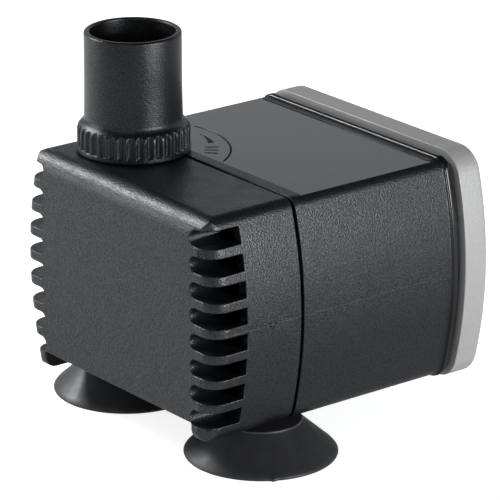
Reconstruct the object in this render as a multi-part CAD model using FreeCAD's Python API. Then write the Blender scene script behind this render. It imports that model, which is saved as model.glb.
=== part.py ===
import FreeCAD, Part
import math
import os

# Small submersible water pump, millimetres, +Z up.
# Modelled with Y measured backwards from the flat face of the intake cover and Z measured up
# from the floor under the suction cups.  save() then moves everything so that the origin is
# on the floor under the middle of the pump's length.

# ---- body shell -------------------------------------------------------------------------
STAND_HEIGHT = 6.7            # floor to the lower edge of the side skirts
BODY_HEIGHT = 39.6            # skirt edge to flat top
BELLY_HALF_WIDTH = 27.3       # half width at the fullest point of the bulged sides
SIDE_ARC_RADIUS = 65.0        # bulge of the sides, seen from the front
TOP_EDGE_RADIUS = 2.3
SKIRT_EDGE_RADIUS = 3.0
SKIRT_DEPTH = 3.25            # how far the skirts hang below the underside
SKIRT_INNER_X = 20.9
WALL = 2.0

# ---- intake cover -----------------------------------------------------------------------
COVER_LENGTH = 18.5
COVER_TOP_FRONT_RADIUS = 3.6
COVER_SIDE_FRONT_RADIUS = 3.4
COVER_SKIRT_FRONT_RADIUS = 2.4
SLOT_COUNT = 8
SLOT_PITCH = 4.53
SLOT_HEIGHT = 2.85
SLOT_FRONT_X = 20.7           # where the slots begin on the flat face
SLOT_DEPTH_Y = 7.1            # how far they run back along the sides
TOP_SLOT_DROP = 3.5           # flat top to the middle of the first slot
FIN_ROOT_WALL = 1.5           # from the slots' inner ends to the hollow
FIN_RELIEF = 0.6              # the slots run this far past the fins' backs
GATE_MARK_RADIUS = 0.75
GATE_MARK_DEPTH = 0.15
GATE_MARK_Y = 12.4
COVER_FIT = 0.3               # loose push fit between the cover and the housing lip

# ---- motor housing and rear cap ---------------------------------------------------------
SEAM_GAP = 0.6
HOUSING_LENGTH = 32.5         # seam to the flange
FLANGE_THICKNESS = 1.3
FLANGE_PROUD = 0.4
FLANGE_CORNER_RADIUS = 2.8
LIP_LENGTH = 1.9
LIP_THICKNESS = 1.3
LIP_BOTTOM_Z = 15.0
BULKHEAD_SETBACK = 2.1        # housing front edge to the bulkhead's face
BULKHEAD_THICKNESS = 1.6
PANEL_START = 2.3             # smooth top panel, from the housing's front edge
PANEL_END_MARGIN = 1.8        # and from the flange
PANEL_DEPTH = 0.15
GASKET_THICKNESS = 1.0
GASKET_INSET = 0.6
CAP_PROUD = 0.95
CAP_LENGTH = 5.3
CAP_CORNER_RADIUS = 5.0
CAP_REAR_RADIUS = 1.2
CAP_WALL = 2.0
CAP_SPIGOT_LENGTH = 3.0
CAP_SPIGOT_FIT = 0.1
CAP_SPIGOT_WALL = 1.5

# ---- cable gland ------------------------------------------------------------------------
CABLE_BORE_RADIUS = 3.0
GLAND_NECK_RADIUS = 4.4
GLAND_FLANGE_RADIUS = 5.8
GLAND_FLANGE_THICKNESS = 1.2
GLAND_TAIL_LENGTH = 3.0
GLAND_TAIL_RADIUS = 4.2
GLAND_DROP = 6.0              # below the motor axis
GLAND_FIT = 0.05

# ---- outlet -----------------------------------------------------------------------------
OUTLET_X = -13.38
OUTLET_Y = 14.07
NECK_RADIUS = 6.6
NECK_WALL = 2.0
NECK_HOLE_CLEARANCE = 0.4
NECK_RISE = 3.0               # above the flat top
VALVE_WEB = 1.0
VALVE_GAP = 0.3
VALVE_HUB_RADIUS = 1.2
VALVE_PORT_MARGIN = 0.3       # neck bore to the ports' outer edge
VALVE_PORT_ANGLE = 90.0
NOZZLE_FIT = 0.1
NOZZLE_FLOAT = 0.3            # collar above the flat top
COLLAR_RADIUS = 9.9
COLLAR_HEIGHT = 4.2
COLLAR_RIM = 0.7
COLLAR_RIM_PROUD = 0.15
SHOULDER_HEIGHT = 1.3
FLUTE_COUNT = 36
FLUTE_RADIUS = 0.62
TUBE_BASE_RADIUS = 8.5
TUBE_TIP_RADIUS = 8.38        # also the parallel stretch that takes the hose
TUBE_PARALLEL_LENGTH = 7.5
TUBE_BORE_RADIUS = 7.35
TUBE_TIP_RISE = 21.3          # tip above the flat top
TUBE_TIP_CHAMFER = 0.4
SEAL_CORD_RADIUS = 0.6
SEAL_DROP = 1.7               # neck top to the middle of the O-ring

# ---- flow marks on the housing top ------------------------------------------------------
MARK_DEPTH = 0.12
MARK_RING_RADIUS = 16.7
MARK_RING_WIDTH = 0.35
MARK_START_ANGLE = 29.0
MARK_END_ANGLE = 104.0
WEDGE_RADIUS = 14.4
WEDGE_WIDTH = 1.1
WEDGE_THIN_ANGLE = 92.0
WEDGE_THICK_ANGLE = 68.0
TICK_COUNT = 3
TICK_FIRST_ANGLE = 58.0
TICK_STEP_ANGLE = 7.0
TICK_INNER_RADIUS = 12.3
TICK_LENGTH = 2.3
TICK_WIDTH = 0.45

# ---- pump chamber -----------------------------------------------------------------------
VOLUTE_FRONT_Y = 9.0
VOLUTE_WALL = 1.5
VOLUTE_RADIUS = 13.5
VOLUTE_FLANGE_RADIUS = 14.2
VOLUTE_FLANGE_THICKNESS = 1.5
VOLUTE_SEAL_THICKNESS = 0.5
INLET_RADIUS = 5.5
SPIDER_RIBS = 3
SPIDER_RIB_WIDTH = 1.2
SPIDER_DEPTH = 3.0

# ---- rotor, shaft and impeller ----------------------------------------------------------
SHAFT_RADIUS = 1.25
SHAFT_RUNNING_FIT = 0.08
BUSH_WALL = 0.9
BUSH_LENGTH = 2.5
BUSH_HOLDER_WALL = 1.1
WASHER_THICKNESS = 0.5
WASHER_RADIUS = 2.6
END_FLOAT = 0.05
ROTOR_AIR_GAP = 0.8           # magnet to the well's wall
WELL_WALL = 1.0
WELL_END_WALL = 1.5
WELL_LENGTH = 25.0
MAGNET_RADIUS = 7.5
MAGNET_LENGTH = 17.0
CARRIER_HUB_RADIUS = 3.2
CARRIER_FLANGE = 1.2
DOG_INNER_RADIUS = 2.2
DOG_OUTER_RADIUS = 5.2
DOG_ANGLE = 90.0
DOG_LENGTH = 2.6
DOG_GAP = 0.35
IMPELLER_RADIUS = 9.2
IMPELLER_BLADES = 7
BLADE_THICKNESS = 1.1
BLADE_DEPTH = 5.6
IMPELLER_PLATE = 1.2
IMPELLER_HUB_RADIUS = 3.0

# ---- stator -----------------------------------------------------------------------------
STACK_LENGTH = 13.0
STACK_HALF_WIDTH = 23.0
STACK_HALF_HEIGHT = 13.6
YOKE = 3.6
POLE_GAP = 0.2
POLE_LEG_HALF_HEIGHT = 4.5
POLE_SHOE_HALF_HEIGHT = 7.6
POLE_SHOE_THICKNESS = 2.3
BOBBIN_FIT = 0.1
BOBBIN_WALL = 0.7
WINDING_DEPTH = 2.2
BOBBIN_FLANGE_LIP = 0.3
RESIN_LENGTH = 19.0
RESIN_CLEARANCE = 0.05
CUTOUT_WIDTH = 5.0
CUTOUT_DEPTH = 3.0
CUTOUT_HEIGHT = 8.0

# ---- suction cups -----------------------------------------------------------------------
CUP_X = 18.99
CUP_Y = 16.38
CUP_RIM_RADIUS = 13.25
CUP_RIM_HEIGHT = 0.45
CUP_RIM_FLAT = 0.7
CUP_DISC_RADIUS = 7.0
CUP_DISC_THICKNESS = 0.6
CUP_SHOULDER_GAP = 0.3        # disc top to the skirt edge
CUP_HOLLOW_HEIGHT = 3.7
CUP_STEM_RADIUS = 2.3
CUP_STEM_FIT = 0.05
CUP_HEAD_RADIUS = 3.4
CUP_HEAD_HEIGHT = 1.5
CUP_NIB_RADIUS = 0.45
CUP_NIB_ANGLE = -29.0
TONGUE_REACH = 4.4            # stem axis to the end and the inner side of its tongue
TONGUE_GAP = 0.3

# ---- places worked out from the sizes above ---------------------------------------------
NECK_BORE_RADIUS = NECK_RADIUS - NECK_WALL
VALVE_PORT_RADIUS = NECK_BORE_RADIUS - VALVE_PORT_MARGIN
WELL_RADIUS = MAGNET_RADIUS + ROTOR_AIR_GAP
POLE_BORE_RADIUS = WELL_RADIUS + WELL_WALL + POLE_GAP
POLE_SHOE_X = POLE_BORE_RADIUS + POLE_SHOE_THICKNESS
Z_SKIRT = STAND_HEIGHT
Z_TOP = Z_SKIRT + BODY_HEIGHT
Z_AXIS = Z_SKIRT + BODY_HEIGHT / 2
Z_UNDERSIDE = Z_SKIRT + SKIRT_DEPTH
Y_HOUSING = COVER_LENGTH + SEAM_GAP
Y_BULKHEAD = Y_HOUSING + BULKHEAD_SETBACK
Y_CAVITY = Y_BULKHEAD + BULKHEAD_THICKNESS
Y_FLANGE = Y_HOUSING + HOUSING_LENGTH
Y_FLANGE_END = Y_FLANGE + FLANGE_THICKNESS
Y_CAP = Y_FLANGE_END + GASKET_THICKNESS
Y_CAP_END = Y_CAP + CAP_LENGTH
TOTAL_LENGTH = Y_CAP_END + GLAND_FLANGE_THICKNESS + GLAND_TAIL_LENGTH
Y_WELL_END = Y_BULKHEAD + WELL_LENGTH
Y_VOLUTE_END = Y_BULKHEAD - VOLUTE_SEAL_THICKNESS
Y_FRONT_BUSH_END = VOLUTE_FRONT_Y + SPIDER_DEPTH
Y_IMPELLER = Y_FRONT_BUSH_END + WASHER_THICKNESS + 2 * END_FLOAT
Y_IMPELLER_PLATE = Y_IMPELLER + BLADE_DEPTH
Y_IMPELLER_BACK = Y_IMPELLER_PLATE + IMPELLER_PLATE
Y_DOG_END = Y_IMPELLER_BACK + DOG_LENGTH
Y_CARRIER = Y_DOG_END + DOG_GAP
Y_MAGNET = Y_CARRIER + CARRIER_FLANGE
Y_CARRIER_END = Y_MAGNET + MAGNET_LENGTH + CARRIER_FLANGE
Y_REAR_BUSH = Y_WELL_END - BUSH_LENGTH
Y_STACK = Y_CAVITY + BOBBIN_FIT + BOBBIN_WALL + WINDING_DEPTH + BOBBIN_FLANGE_LIP
Z_NECK_TOP = Z_TOP + NECK_RISE
Z_SEAL = Z_NECK_TOP - SEAL_DROP
Z_COLLAR = Z_TOP + NOZZLE_FLOAT
BASE_TOP_Z = Z_UNDERSIDE + WALL
SHAFT_BORE_RADIUS = SHAFT_RADIUS + SHAFT_RUNNING_FIT
BUSH_RADIUS = SHAFT_RADIUS + BUSH_WALL
FAR = 100.0                   # longer than anything here, for cutting tools

V = FreeCAD.Vector
X_AXIS, Y_AXIS, Z_DIR = V(1, 0, 0), V(0, 1, 0), V(0, 0, 1)


# ---- helpers ----------------------------------------------------------------------------
def box(x0, x1, y0, y1, z0, z1):
    return Part.makeBox(x1 - x0, y1 - y0, z1 - z0, V(x0, y0, z0))


def rod_y(radius, y0, y1, x=0.0, z=Z_AXIS):
    return Part.makeCylinder(radius, y1 - y0, V(x, y0, z), Y_AXIS)


def rod_z(radius, z0, z1, x=OUTLET_X, y=OUTLET_Y):
    return Part.makeCylinder(radius, z1 - z0, V(x, y, z0), Z_DIR)


def ring_y(outer, inner, y0, y1, x=0.0, z=Z_AXIS):
    return rod_y(outer, y0, y1, x, z).cut(rod_y(inner, y0, y1, x, z))


def sector(radius, start, end, length, base, axis_up):
    """Wedge of a cylinder between two angles; axis_up True stands on Z, False lies along Y."""
    wedge = Part.makeCylinder(radius, length, V(0, 0, 0), Z_DIR, end - start)
    wedge.rotate(V(0, 0, 0), Z_DIR, start)
    if not axis_up:
        wedge.rotate(V(0, 0, 0), X_AXIS, -90)
    wedge.translate(base)
    return wedge


def revolve_z(points, x, y):
    """Turn a closed outline of (radius, z) points about an upright axis."""
    outline = Part.makePolygon([V(r, 0, z) for r, z in points + points[:1]])
    solid = Part.Face(outline).revolve(V(0, 0, 0), Z_DIR, 360)
    solid.translate(V(x, y, 0))
    return solid


def shell_section(inset, corner_top, corner_bottom, y):
    """Outline of the bulged body at one depth, drawn inwards by inset."""
    radius = SIDE_ARC_RADIUS - inset
    centre_x = BELLY_HALF_WIDTH - SIDE_ARC_RADIUS
    top, bottom = Z_TOP - inset, Z_SKIRT + inset

    def corner(level, size, up):
        """Points of a corner round: on the flat, mid-arc, on the side."""
        cz = level - up * size
        cx = centre_x + math.sqrt((radius - size) ** 2 - (cz - Z_AXIS) ** 2)
        angle = math.atan2(cz - Z_AXIS, cx - centre_x)
        middle = (angle + up * math.pi / 2) / 2
        side = (cx + size * math.cos(angle), cz + size * math.sin(angle))
        half = (cx + size * math.cos(middle), cz + size * math.sin(middle))
        return (cx, level), half, side

    def sharp(level):
        return (centre_x + math.sqrt(radius ** 2 - (level - Z_AXIS) ** 2), level)

    belly = (centre_x + radius, Z_AXIS)
    right_top = corner(top, corner_top, 1) if corner_top else [sharp(top)] * 3
    right_bottom = corner(bottom, corner_bottom, -1) if corner_bottom else [sharp(bottom)] * 3

    def point(pair, side=1):
        return V(side * pair[0], y, pair[1])

    edges = [Part.makeLine(point(right_bottom[0], -1), point(right_bottom[0]))]
    for side in (1, -1):
        if corner_bottom:
            edges.append(Part.Arc(*[point(p, side) for p in right_bottom]).toShape())
        edges.append(Part.Arc(point(right_bottom[2], side), point(belly, side),
                              point(right_top[2], side)).toShape())
        if corner_top:
            edges.append(Part.Arc(*[point(p, side) for p in right_top]).toShape())
    edges.append(Part.makeLine(point(right_top[0]), point(right_top[0], -1)))
    return Part.Wire(Part.__sortEdges__(edges))


def shell_prism(inset, corner_top, corner_bottom, y0, y1):
    face = Part.Face(shell_section(inset, corner_top, corner_bottom, y0))
    return face.extrude(V(0, y1 - y0, 0))


def side_front_rounded(inset, y0, y1, radius):
    """Sharp-cornered body prism whose two bulged front edges are rounded."""
    prism = shell_prism(inset, 0, 0, y0, y1)
    curved = [e for e in prism.Edges
              if isinstance(e.Curve, Part.Circle) and e.BoundBox.YMax < y0 + 0.01]
    return prism.makeFillet(radius, curved)


def cover_side_view():
    """Profile of the cover from the side: rounded top and bottom front edges."""
    top, bottom = COVER_TOP_FRONT_RADIUS, COVER_SKIRT_FRONT_RADIUS
    lean = math.sqrt(0.5)

    def p(y, z):
        return V(-FAR, y, z)

    edges = [
        Part.makeLine(p(COVER_LENGTH, Z_SKIRT), p(bottom, Z_SKIRT)),
        Part.Arc(p(bottom, Z_SKIRT), p(bottom * (1 - lean), Z_SKIRT + bottom * (1 - lean)),
                 p(0, Z_SKIRT + bottom)).toShape(),
        Part.makeLine(p(0, Z_SKIRT + bottom), p(0, Z_TOP - top)),
        Part.Arc(p(0, Z_TOP - top), p(top * (1 - lean), Z_TOP - top * (1 - lean)),
                 p(top, Z_TOP)).toShape(),
        Part.makeLine(p(top, Z_TOP), p(COVER_LENGTH, Z_TOP)),
        Part.makeLine(p(COVER_LENGTH, Z_TOP), p(COVER_LENGTH, Z_SKIRT)),
    ]
    return Part.Face(Part.Wire(edges)).extrude(V(2 * FAR, 0, 0))


def underside_recess(y0, y1):
    return box(-SKIRT_INNER_X, SKIRT_INNER_X, y0, y1, -FAR, Z_UNDERSIDE)


def joined(shapes):
    return shapes[0].multiFuse(shapes[1:]).removeSplitter()


# ---- intake cover -----------------------------------------------------------------------
def intake_slots():
    """Slots that wrap round both front corners, with a rounded end on the flat face."""
    half = SLOT_HEIGHT / 2
    tools = []
    for side in (-1, 1):
        for row in range(SLOT_COUNT):
            z = Z_TOP - TOP_SLOT_DROP - row * SLOT_PITCH
            round_x = side * (SLOT_FRONT_X + half)
            outer_x = side * (BELLY_HALF_WIDTH + WALL)
            x0, x1 = sorted((round_x, outer_x))
            tools.append(box(x0, x1, -WALL, SLOT_DEPTH_Y, z - half, z + half))
            tools.append(rod_y(half, -WALL, SLOT_DEPTH_Y, round_x, z))
    return tools


def neck_notch():
    """Way for the outlet neck through the cover's top, open at the back."""
    radius = NECK_RADIUS + NECK_HOLE_CLEARANCE
    low = Z_TOP - 2 * WALL
    return [rod_z(radius, low, Z_TOP + WALL),
            box(OUTLET_X - radius, OUTLET_X + radius, OUTLET_Y, COVER_LENGTH + WALL,
                low, Z_TOP + WALL)]


def cup_tongue(side):
    """Tongue at the back of the cover's base that carries a suction cup's stem."""
    x0, x1 = sorted((side * (CUP_X - TONGUE_REACH), side * (SKIRT_INNER_X - COVER_FIT)))
    return box(x0, x1, COVER_LENGTH - WALL, Y_BULKHEAD - TONGUE_GAP, Z_UNDERSIDE, BASE_TOP_Z)


def gate_mark():
    outer = Part.makeCylinder(GATE_MARK_RADIUS, WALL,
                              V(BELLY_HALF_WIDTH - GATE_MARK_DEPTH, GATE_MARK_Y, Z_AXIS), X_AXIS)
    inner = Part.makeCylinder(GATE_MARK_RADIUS / 2, WALL,
                              V(BELLY_HALF_WIDTH - GATE_MARK_DEPTH, GATE_MARK_Y, Z_AXIS), X_AXIS)
    return outer.cut(inner)


def front_cover():
    outer = side_front_rounded(0, 0, COVER_LENGTH, COVER_SIDE_FRONT_RADIUS)
    outer = outer.common(shell_prism(0, TOP_EDGE_RADIUS, SKIRT_EDGE_RADIUS, 0, COVER_LENGTH))
    outer = outer.common(cover_side_view())
    hollow = side_front_rounded(WALL, WALL, COVER_LENGTH + WALL, COVER_SIDE_FRONT_RADIUS - WALL)
    fin_x, fin_back = SLOT_FRONT_X - FIN_ROOT_WALL, SLOT_DEPTH_Y - FIN_RELIEF
    hollow = hollow.cut([box(-FAR, FAR, 0, FAR, 0, BASE_TOP_Z),
                         box(-FAR, -fin_x, 0, fin_back, 0, FAR),
                         box(fin_x, FAR, 0, fin_back, 0, FAR)])
    shell = outer.cut([hollow, underside_recess(-WALL, COVER_LENGTH + WALL)])
    shell = shell.fuse([cup_tongue(-1), cup_tongue(1)])
    holes = [rod_z(CUP_STEM_RADIUS + CUP_STEM_FIT, 0, BASE_TOP_Z + WALL, side * CUP_X, CUP_Y)
             for side in (-1, 1)]
    return shell.cut(intake_slots() + neck_notch() + holes + [gate_mark()]).removeSplitter()


# ---- suction cups -----------------------------------------------------------------------
def suction_cup(side, nib):
    disc_top = Z_SKIRT - CUP_SHOULDER_GAP
    head_top = BASE_TOP_Z + CUP_STEM_FIT + CUP_HEAD_HEIGHT
    head_low = BASE_TOP_Z + CUP_STEM_FIT
    outline = [
        (CUP_RIM_RADIUS - CUP_RIM_FLAT, 0), (CUP_RIM_RADIUS - CUP_RIM_HEIGHT / 2, 0),
        (CUP_RIM_RADIUS, CUP_RIM_HEIGHT), (CUP_DISC_RADIUS, disc_top - CUP_DISC_THICKNESS),
        (CUP_DISC_RADIUS, disc_top), (CUP_STEM_RADIUS, disc_top),
        (CUP_STEM_RADIUS, head_low), (CUP_HEAD_RADIUS, head_low),
        (CUP_STEM_RADIUS, head_top), (0, head_top), (0, CUP_HOLLOW_HEIGHT),
        (CUP_RIM_RADIUS / 3, CUP_HOLLOW_HEIGHT - CUP_RIM_HEIGHT / 2),
    ]
    cup = revolve_z(outline, side * CUP_X, CUP_Y)
    if nib:
        turn = math.radians(CUP_NIB_ANGLE)
        reach = CUP_RIM_RADIUS - CUP_NIB_RADIUS
        cup = cup.fuse(Part.makeSphere(CUP_NIB_RADIUS, V(
            side * CUP_X + reach * math.cos(turn), CUP_Y + reach * math.sin(turn),
            2 * CUP_RIM_HEIGHT)))
    return cup


# ---- motor housing ----------------------------------------------------------------------
def housing_lip():
    """Locating lip inside the cover's rear edge, on the top and the sides."""
    inset = WALL + COVER_FIT
    outer = shell_prism(inset, 0, 0, Y_HOUSING - LIP_LENGTH, Y_BULKHEAD)
    inner = shell_prism(inset + LIP_THICKNESS, 0, 0, Y_HOUSING - LIP_LENGTH, Y_BULKHEAD)
    radius = NECK_RADIUS + NECK_HOLE_CLEARANCE
    return outer.cut([inner, box(-FAR, FAR, 0, FAR, 0, LIP_BOTTOM_Z),
                      rod_z(radius, LIP_BOTTOM_Z, Z_TOP)])


def rotor_well():
    """Sealed can for the rotor, with a holder for the rear shaft bush."""
    can = rod_y(WELL_RADIUS + WELL_WALL, Y_BULKHEAD, Y_WELL_END + WELL_END_WALL)
    can = can.cut(rod_y(WELL_RADIUS, Y_BULKHEAD, Y_WELL_END))
    holder = ring_y(BUSH_RADIUS + BUSH_HOLDER_WALL, BUSH_RADIUS, Y_REAR_BUSH, Y_WELL_END)
    return can.fuse(holder)


def annular_cut(inner, outer, start, end):
    """Shallow engraved band round the outlet axis on the housing's top."""
    base = V(OUTLET_X, OUTLET_Y, Z_TOP - PANEL_DEPTH - MARK_DEPTH)
    band = sector(outer, start, end, WALL, base, True)
    return band.cut(sector(inner, start, end, WALL, base, True))


def wedge_mark():
    """Band between two arcs that meet at its thin end and are WEDGE_WIDTH apart at the other."""
    def p(radius, angle):
        turn = math.radians(angle)
        return V(OUTLET_X + radius * math.cos(turn), OUTLET_Y + radius * math.sin(turn),
                 Z_TOP - PANEL_DEPTH - MARK_DEPTH)

    thin, thick = WEDGE_THIN_ANGLE, WEDGE_THICK_ANGLE
    middle = (thin + thick) / 2
    outer = Part.Arc(p(WEDGE_RADIUS, thin), p(WEDGE_RADIUS, middle), p(WEDGE_RADIUS, thick))
    inner = Part.Arc(p(WEDGE_RADIUS, thin), p(WEDGE_RADIUS - WEDGE_WIDTH / 2, middle),
                     p(WEDGE_RADIUS - WEDGE_WIDTH, thick))
    end = Part.makeLine(p(WEDGE_RADIUS, thick), p(WEDGE_RADIUS - WEDGE_WIDTH, thick))
    outline = Part.Wire(Part.__sortEdges__([outer.toShape(), end, inner.toShape()]))
    return Part.Face(outline).extrude(V(0, 0, WALL))


def flow_marks():
    """Ring line, tapering band and three short bars that show which way opens the outlet."""
    half = MARK_RING_WIDTH / 2
    marks = [annular_cut(MARK_RING_RADIUS - half, MARK_RING_RADIUS + half,
                         MARK_START_ANGLE, MARK_END_ANGLE)]
    marks.append(wedge_mark())
    for tick in range(TICK_COUNT):
        bar = box(TICK_INNER_RADIUS, TICK_INNER_RADIUS + TICK_LENGTH, -TICK_WIDTH / 2,
                  TICK_WIDTH / 2, Z_TOP - PANEL_DEPTH - MARK_DEPTH, Z_TOP + WALL)
        bar.rotate(V(0, 0, 0), Z_DIR, TICK_FIRST_ANGLE - tick * TICK_STEP_ANGLE)
        bar.translate(V(OUTLET_X, OUTLET_Y, 0))
        marks.append(bar)
    return marks


def motor_housing():
    barrel = shell_prism(0, TOP_EDGE_RADIUS, SKIRT_EDGE_RADIUS, Y_HOUSING, Y_FLANGE_END)
    flange = shell_prism(-FLANGE_PROUD, FLANGE_CORNER_RADIUS, SKIRT_EDGE_RADIUS + FLANGE_PROUD,
                         Y_FLANGE, Y_FLANGE_END)
    body = barrel.fuse(flange)
    inner_floor = box(-FAR, FAR, 0, FAR, 0, BASE_TOP_Z)
    front_pocket = shell_prism(WALL, 0, 0, Y_HOUSING - WALL, Y_BULKHEAD).cut(inner_floor)
    rear_cavity = shell_prism(WALL, 0, 0, Y_CAVITY, Y_FLANGE_END + WALL).cut(inner_floor)
    notches = []
    for side in (-1, 1):
        x0, x1 = sorted((side * (CUP_X - TONGUE_REACH - COVER_FIT), side * SKIRT_INNER_X))
        notches.append(box(x0, x1, Y_HOUSING - WALL, Y_BULKHEAD, 0, BASE_TOP_Z + COVER_FIT))
    neck_scallop = rod_z(NECK_RADIUS + NECK_HOLE_CLEARANCE, Z_TOP - 2 * WALL, Z_TOP + WALL)
    panel_half = shell_section(0, TOP_EDGE_RADIUS, SKIRT_EDGE_RADIUS, 0).BoundBox.XMax
    panel = box(-panel_half, panel_half, Y_HOUSING + PANEL_START, Y_FLANGE - PANEL_END_MARGIN,
                Z_TOP - PANEL_DEPTH, Z_TOP + WALL)
    body = body.cut([front_pocket, rear_cavity, underside_recess(0, FAR), neck_scallop, panel]
                    + notches + flow_marks())
    body = body.fuse(housing_lip())
    body = body.cut(rod_y(WELL_RADIUS, Y_BULKHEAD - WALL, Y_CAVITY + WALL))
    return body.fuse(rotor_well()).removeSplitter()


# ---- rear cap, gasket and gland ---------------------------------------------------------
def gland_place():
    return Z_AXIS - GLAND_DROP


def rear_cap():
    block = shell_prism(-CAP_PROUD, CAP_CORNER_RADIUS, CAP_CORNER_RADIUS, Y_CAP, Y_CAP_END)
    rear_edges = [e for e in block.Edges if e.BoundBox.YMin > Y_CAP_END - 0.01]
    block = block.makeFillet(CAP_REAR_RADIUS, rear_edges)
    spigot_inset = WALL + CAP_SPIGOT_FIT
    floor_z = BASE_TOP_Z + CAP_SPIGOT_FIT
    below = box(-FAR, FAR, 0, FAR, 0, floor_z)
    spigot = shell_prism(spigot_inset, 0, 0, Y_CAP - CAP_SPIGOT_LENGTH, Y_CAP).cut(below)
    inner = shell_prism(spigot_inset + CAP_SPIGOT_WALL, 0, 0, Y_CAP - CAP_SPIGOT_LENGTH,
                        Y_CAP_END - CAP_WALL)
    inner = inner.cut(box(-FAR, FAR, 0, FAR, 0, floor_z + CAP_SPIGOT_WALL))
    hole = rod_y(GLAND_NECK_RADIUS + GLAND_FIT, Y_CAP, Y_CAP_END + WALL, 0, gland_place())
    return block.fuse(spigot).cut([inner, hole]).removeSplitter()


def cap_gasket():
    """Flat rubber ring that shows as the dark groove between the flange and the cap."""
    outer = shell_prism(GASKET_INSET, TOP_EDGE_RADIUS, TOP_EDGE_RADIUS, Y_FLANGE_END, Y_CAP)
    inner = shell_prism(WALL, 0, 0, Y_FLANGE_END, Y_CAP)
    inner = inner.cut(box(-FAR, FAR, 0, FAR, 0, BASE_TOP_Z))
    return outer.cut([inner, underside_recess(0, FAR)])


def cable_gland():
    z = gland_place()
    inner_face = Y_CAP_END - CAP_WALL
    body = joined([
        rod_y(GLAND_FLANGE_RADIUS, Y_CAP_END, Y_CAP_END + GLAND_FLANGE_THICKNESS, 0, z),
        rod_y(GLAND_NECK_RADIUS, inner_face - GLAND_FLANGE_THICKNESS, Y_CAP_END, 0, z),
        rod_y(GLAND_FLANGE_RADIUS, inner_face - GLAND_FLANGE_THICKNESS, inner_face, 0, z),
        Part.makeCone(GLAND_NECK_RADIUS, GLAND_TAIL_RADIUS, GLAND_TAIL_LENGTH,
                      V(0, Y_CAP_END + GLAND_FLANGE_THICKNESS, z), Y_AXIS),
    ])
    return body.cut(rod_y(CABLE_BORE_RADIUS, 0, FAR, 0, z))


# ---- pump chamber -----------------------------------------------------------------------
def valve_ports(z0, z1):
    """Two opposite quarter openings of the flow regulator."""
    ports = []
    for start in (-VALVE_PORT_ANGLE / 2, 180 - VALVE_PORT_ANGLE / 2):
        port = sector(VALVE_PORT_RADIUS, start, start + VALVE_PORT_ANGLE, z1 - z0,
                      V(OUTLET_X, OUTLET_Y, z0), True)
        ports.append(port.cut(rod_z(VALVE_HUB_RADIUS, z0, z1)))
    return ports


def volute_housing():
    elbow_centre = V(OUTLET_X, OUTLET_Y, Z_AXIS)
    outside = joined([
        rod_y(VOLUTE_RADIUS, VOLUTE_FRONT_Y, Y_VOLUTE_END),
        rod_y(VOLUTE_FLANGE_RADIUS, Y_VOLUTE_END - VOLUTE_FLANGE_THICKNESS, Y_VOLUTE_END),
        rod_z(NECK_RADIUS, Z_AXIS, Z_NECK_TOP),
        Part.makeSphere(NECK_RADIUS, elbow_centre),
    ])
    outside = outside.cut(box(-FAR, FAR, Y_VOLUTE_END, FAR, -FAR, FAR))
    web_low = Z_NECK_TOP - VALVE_WEB
    hollow = joined([
        rod_y(VOLUTE_RADIUS - VOLUTE_WALL, VOLUTE_FRONT_Y + VOLUTE_WALL, FAR),
        rod_z(NECK_BORE_RADIUS, Z_AXIS, web_low),
        Part.makeSphere(NECK_BORE_RADIUS, elbow_centre),
    ])
    inlet = rod_y(INLET_RADIUS, 0, VOLUTE_FRONT_Y + VOLUTE_WALL)
    groove = rod_z(NECK_RADIUS, Z_SEAL - SEAL_CORD_RADIUS, Z_SEAL + SEAL_CORD_RADIUS)
    groove = groove.cut(rod_z(NECK_RADIUS - 2 * SEAL_CORD_RADIUS, 0, FAR))
    shell = outside.cut([hollow, inlet, groove] + valve_ports(web_low - VALVE_WEB, FAR))
    holder_radius = BUSH_RADIUS + BUSH_HOLDER_WALL
    spider = [rod_y(holder_radius, VOLUTE_FRONT_Y, Y_FRONT_BUSH_END)]
    for rib in range(SPIDER_RIBS):
        arm = box(0, INLET_RADIUS + VOLUTE_WALL, VOLUTE_FRONT_Y, VOLUTE_FRONT_Y + VOLUTE_WALL,
                  Z_AXIS - SPIDER_RIB_WIDTH / 2, Z_AXIS + SPIDER_RIB_WIDTH / 2)
        arm.rotate(V(0, 0, Z_AXIS), Y_AXIS, 90 + rib * 360 / SPIDER_RIBS)
        spider.append(arm)
    pocket = rod_y(BUSH_RADIUS, Y_FRONT_BUSH_END - BUSH_LENGTH, FAR)
    return joined([shell] + spider).cut(pocket)


def volute_seal():
    return ring_y(VOLUTE_FLANGE_RADIUS, VOLUTE_RADIUS - VOLUTE_WALL, Y_VOLUTE_END, Y_BULKHEAD)


def nozzle_seal():
    return Part.makeTorus(NECK_RADIUS - SEAL_CORD_RADIUS, SEAL_CORD_RADIUS,
                          V(OUTLET_X, OUTLET_Y, Z_SEAL), Z_DIR)


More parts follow.
